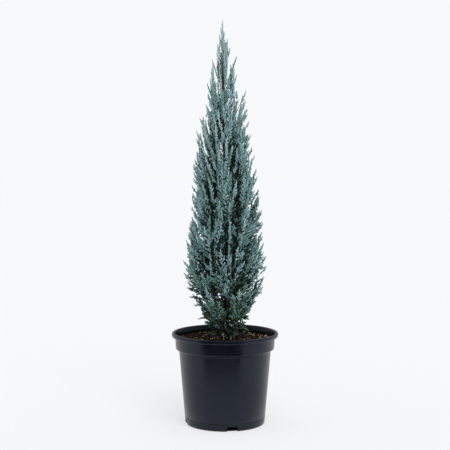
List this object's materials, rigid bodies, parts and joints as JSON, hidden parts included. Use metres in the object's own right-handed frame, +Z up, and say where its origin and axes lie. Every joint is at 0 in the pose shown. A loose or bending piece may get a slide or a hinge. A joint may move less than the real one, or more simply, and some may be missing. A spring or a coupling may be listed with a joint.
{
  "type": "potted upright juniper",
  "caption": "Slim upright blue-green juniper with dense feathery plumes tapering to a spire, in a round black nursery pot with a rolled rim.",
  "frame": {"origin": "middle of the pot's flat underside, on the floor", "axes": "+Z up along the pot's axis; the viewer of the picture stands at -Y, with +X to the right"},
  "size_m": [0.19, 0.19, 0.7132],
  "materials": {
    "pot_plastic": "satin moulded polypropylene",
    "potting_mix": "crumbly bark and peat",
    "bark": "thin fibrous bark",
    "foliage": "waxy blue-green scale leaves"
  },
  "bodies": {
    "root": {"crest_plume_1": "foliage", "crest_plume_2": "foliage", "crest_plume_3": "foliage", "crest_plume_4": "foliage", "high_plume_1": "foliage", "high_plume_2": "foliage", "high_plume_3": "foliage", "high_plume_4": "foliage", "high_plume_5": "foliage", "leader_plume": "foliage", "low_bough_1": "bark", "low_bough_2": "bark", "low_bough_3": "bark", "low_bough_4": "bark", "low_bough_5": "bark", "low_bough_6": "bark", "low_plume_1": "foliage", "low_plume_2": "foliage", "low_plume_3": "foliage", "low_plume_4": "foliage", "low_plume_5": "foliage", "low_plume_6": "foliage", "mid_plume_1": "foliage", "mid_plume_2": "foliage", "mid_plume_3": "foliage", "mid_plume_4": "foliage", "mid_plume_5": "foliage", "mid_plume_6": "foliage", "neck_plume_1": "foliage", "neck_plume_2": "foliage", "neck_plume_3": "foliage", "neck_plume_4": "foliage", "pot": "pot_plastic", "potting_mix": "potting_mix", "shoulder_plume_1": "foliage", "shoulder_plume_2": "foliage", "shoulder_plume_3": "foliage", "shoulder_plume_4": "foliage", "skirt_plume_1": "foliage", "skirt_plume_2": "foliage", "skirt_plume_3": "foliage", "skirt_plume_4": "foliage", "skirt_plume_5": "foliage", "trunk": "bark", "waist_bough_1": "bark", "waist_bough_2": "bark", "waist_bough_3": "bark", "waist_bough_4": "bark", "waist_bough_5": "bark", "waist_plume_1": "foliage", "waist_plume_2": "foliage", "waist_plume_3": "foliage", "waist_plume_4": "foliage", "waist_plume_5": "foliage"}
  },
  "joints": []
}
